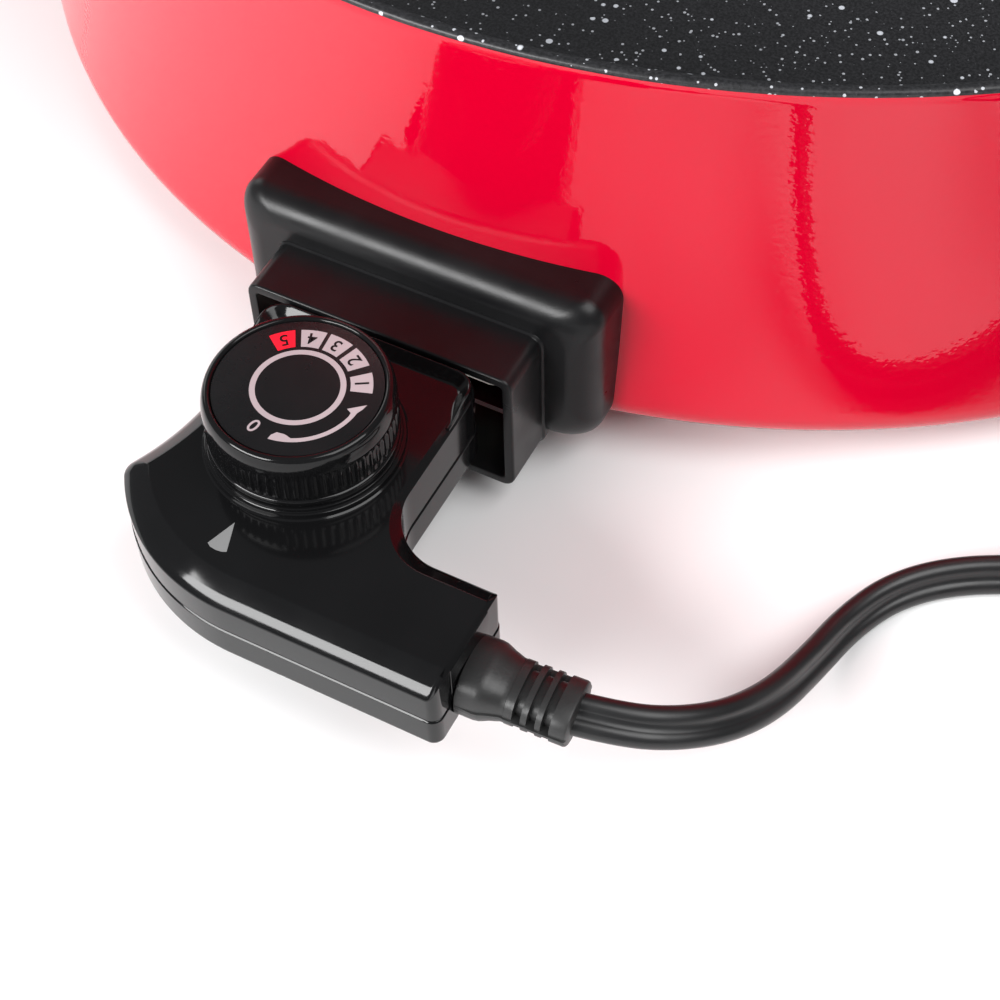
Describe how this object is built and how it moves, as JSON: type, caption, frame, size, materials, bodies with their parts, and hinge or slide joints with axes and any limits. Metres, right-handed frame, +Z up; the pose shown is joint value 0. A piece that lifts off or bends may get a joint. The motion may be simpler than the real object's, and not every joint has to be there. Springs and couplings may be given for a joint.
{
  "type": "electric griddle",
  "caption": "Round electric griddle: deep speckled pan in a red shell on a ring foot, side handles, and a plug-in probe thermostat with a dial and flat cord.",
  "frame": {"origin": "on the pan's axis at the table, where the foot ring stands", "axes": "+Z up along the pan's axis; the probe thermostat plugs in from the -Y side; the handles are at +X and -X"},
  "size_m": [0.573, 0.578, 0.1185],
  "materials": {
    "red_enamel": "gloss red enamel with a slight orange peel",
    "granite_coating": "cast aluminium with a dark non-stick coating with pale speckles",
    "black_satin": "satin black moulded plastic, fine grain",
    "black_gloss": "gloss black moulded plastic",
    "black_rubber": "matte black rubber",
    "cord_jacket": "satin black flexible cord jacket",
    "dial_print": "black disc with pale printed blocks and one red block",
    "bright_steel": "plated steel",
    "sheath_steel": "oxidised steel sheath",
    "cover_steel": "black heat-resistant paint",
    "clamp_aluminium": "pressed aluminium",
    "white_ceramic": "unglazed insulator",
    "brass_contact": "contact brass"
  },
  "bodies": {
    "base": {"outer_shell": "red_enamel", "inner_pan": "granite_coating", "heating_element": "sheath_steel", "element_clamp": "clamp_aluminium", "clamp_screws": "bright_steel", "terminal_block": "white_ceramic", "terminal_pin_left": "bright_steel", "terminal_pin_right": "bright_steel", "probe_guard": "black_satin", "guard_screws": "bright_steel", "bottom_cover": "cover_steel", "stand_ring": "black_satin", "foot_ring": "black_rubber", "stand_screws": "bright_steel", "cover_screws": "bright_steel", "handle_right": "black_satin", "handle_left": "black_satin", "handle_screws": "bright_steel"},
    "thermostat": {"thermostat_top": "black_gloss", "thermostat_base": "black_gloss", "case_screws": "bright_steel", "probe_rod": "bright_steel", "contact_carrier": "white_ceramic", "receptacle_left": "brass_contact", "receptacle_right": "brass_contact", "switch_post": "white_ceramic", "switch_blade_fixed": "brass_contact", "switch_blade_moving": "brass_contact", "bimetal_strip": "bright_steel", "dial_collar": "black_gloss", "strain_relief": "black_rubber", "cord_coil": "cord_jacket", "power_cord": "cord_jacket", "cord_tail": "cord_jacket", "plug_body": "black_rubber", "plug_blade_left": "brass_contact", "plug_blade_right": "brass_contact"},
    "dial": {"dial_spindle": "bright_steel", "dial_knob": "black_gloss", "dial_label": "dial_print"}
  },
  "joints": [
    {"name": "probe_unplug", "type": "slide", "parent": "base", "child": "thermostat", "axis": [0, -1, 0], "range_m": [0, 0.09]},
    {"name": "dial_turn", "type": "hinge", "parent": "thermostat", "child": "dial", "pos_m": [0, -0.26215, 0.054], "axis": [0, 0, 1], "range_deg": [-235, 0]}
  ]
}
